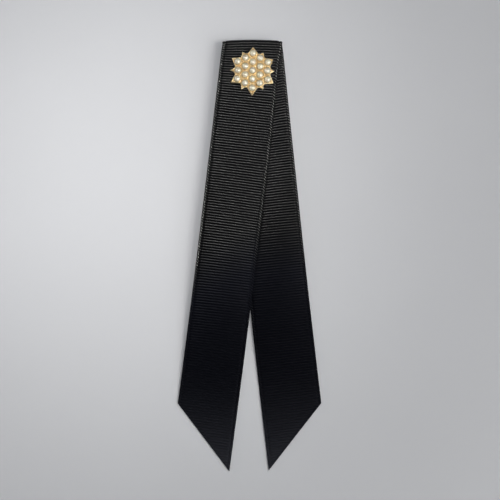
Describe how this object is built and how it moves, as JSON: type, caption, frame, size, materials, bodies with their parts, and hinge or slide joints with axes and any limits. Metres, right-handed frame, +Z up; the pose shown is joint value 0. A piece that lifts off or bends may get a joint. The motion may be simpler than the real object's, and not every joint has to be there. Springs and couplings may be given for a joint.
{
  "type": "ribbon brooch",
  "caption": "Ribbon folded over into two slanted tails cut at an angle, with a pearl-set star at the fold and a bar pin behind.",
  "frame": {"origin": "middle of the object's box, on the surface that it lies on", "axes": "+Y along the ribbon towards the fold, +Z up out of the face that carries the star, +X to the right seen from above with the fold at the top"},
  "size_m": [0.0598, 0.1802, 0.0104],
  "materials": {
    "ribbon": "black cross-ribbed ribbon with a low sheen",
    "gold": "polished cast metal with a warm gold plating",
    "pearl": "cream pearl lustre",
    "steel": "plated steel, smooth"
  },
  "bodies": {
    "root": {"ribbon": "ribbon", "star_setting": "gold", "bar_pin": "steel", "pearl_01": "pearl", "pearl_02": "pearl", "pearl_03": "pearl", "pearl_04": "pearl", "pearl_05": "pearl", "pearl_06": "pearl", "pearl_07": "pearl", "pearl_08": "pearl", "pearl_09": "pearl", "pearl_10": "pearl", "pearl_11": "pearl", "pearl_12": "pearl", "pearl_13": "pearl", "pearl_14": "pearl", "pearl_15": "pearl", "pearl_16": "pearl", "pearl_17": "pearl", "pearl_18": "pearl", "pearl_19": "pearl"}
  },
  "joints": []
}
